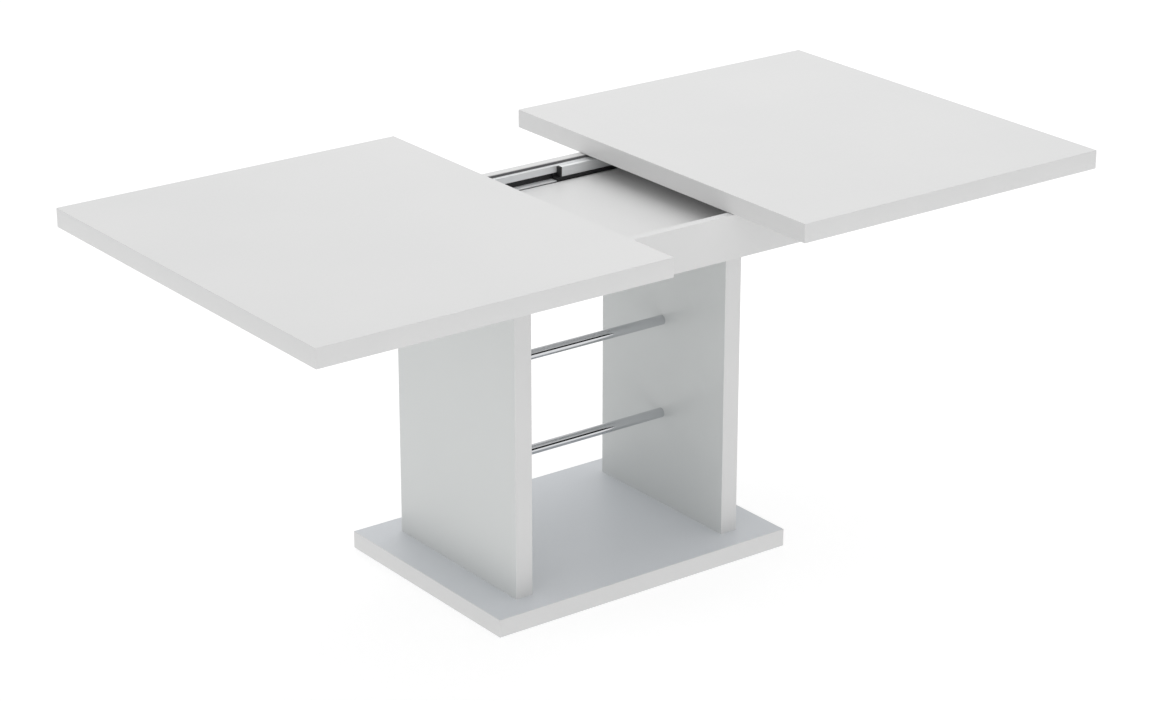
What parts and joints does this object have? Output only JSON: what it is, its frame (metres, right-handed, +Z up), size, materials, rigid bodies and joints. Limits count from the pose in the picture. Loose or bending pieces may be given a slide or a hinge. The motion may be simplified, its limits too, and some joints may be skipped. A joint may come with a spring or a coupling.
{
  "type": "extendable dining table",
  "caption": "White rectangular pedestal dining table whose two top halves slide apart on rails to take a loose leaf kept in the frame.",
  "frame": {"origin": "middle of the base plate, on the floor under the base's middle pad", "axes": "+X is the way the right half slides open, along the table's length; +Y is towards the rear edge; +Z is up"},
  "size_m": [1.805, 0.9, 0.76],
  "materials": {
    "board": "white satin laminate on board",
    "edge": "white satin edge band",
    "chrome": "polished",
    "aluminium": "satin anodised",
    "steel": "zinc plated",
    "black_plastic": "moulded",
    "beech": "raw turned wood",
    "felt": "pressed felt"
  },
  "bodies": {
    "frame": {"base_plate": "board", "base_edge_band": "edge", "base_glide_pads": "felt", "base_bolts": "steel", "base_inserts": "steel", "base_dowels": "beech", "column_panel_left": "board", "column_panel_right": "board", "column_edge_bands": "edge", "cross_bar_upper": "chrome", "cross_bar_lower": "chrome", "column_top_bolts": "steel", "column_top_inserts": "steel", "column_top_dowels": "beech", "frame_floor": "board", "frame_board_front": "board", "frame_board_rear": "board", "frame_end_board": "board", "frame_dowels": "beech", "guide_rail_front": "aluminium", "guide_rail_rear": "aluminium", "guide_rail_screws": "steel", "guide_rail_stops": "black_plastic", "guide_rail_liners": "black_plastic", "guide_rail_seals": "felt"},
    "leaf": {"extension_leaf": "board", "leaf_edge_band": "edge"},
    "left_half": {"left_top": "board", "left_edge_band": "edge", "left_slider_long": "aluminium", "left_slider_short": "aluminium", "left_slider_caps": "black_plastic", "left_glide_long": "black_plastic", "left_glide_short": "black_plastic", "left_brackets": "steel", "left_top_screws": "steel", "left_slider_screws": "steel"},
    "right_half": {"right_top": "board", "right_edge_band": "edge", "right_slider_long": "aluminium", "right_slider_short": "aluminium", "right_slider_caps": "black_plastic", "right_glide_long": "black_plastic", "right_glide_short": "black_plastic", "right_brackets": "steel", "right_top_screws": "steel", "right_slider_screws": "steel"}
  },
  "joints": [
    {"name": "left_slide", "type": "slide", "parent": "frame", "child": "left_half", "axis": [-1, 0, 0], "range_m": [-0.09975, 0.105]},
    {"name": "right_slide", "type": "slide", "parent": "frame", "child": "right_half", "axis": [1, 0, 0], "range_m": [-0.20475, 0]},
    {"name": "leaf_slide", "type": "slide", "parent": "frame", "child": "leaf", "axis": [-1, 0, 0], "range_m": [0, 0.45]}
  ]
}
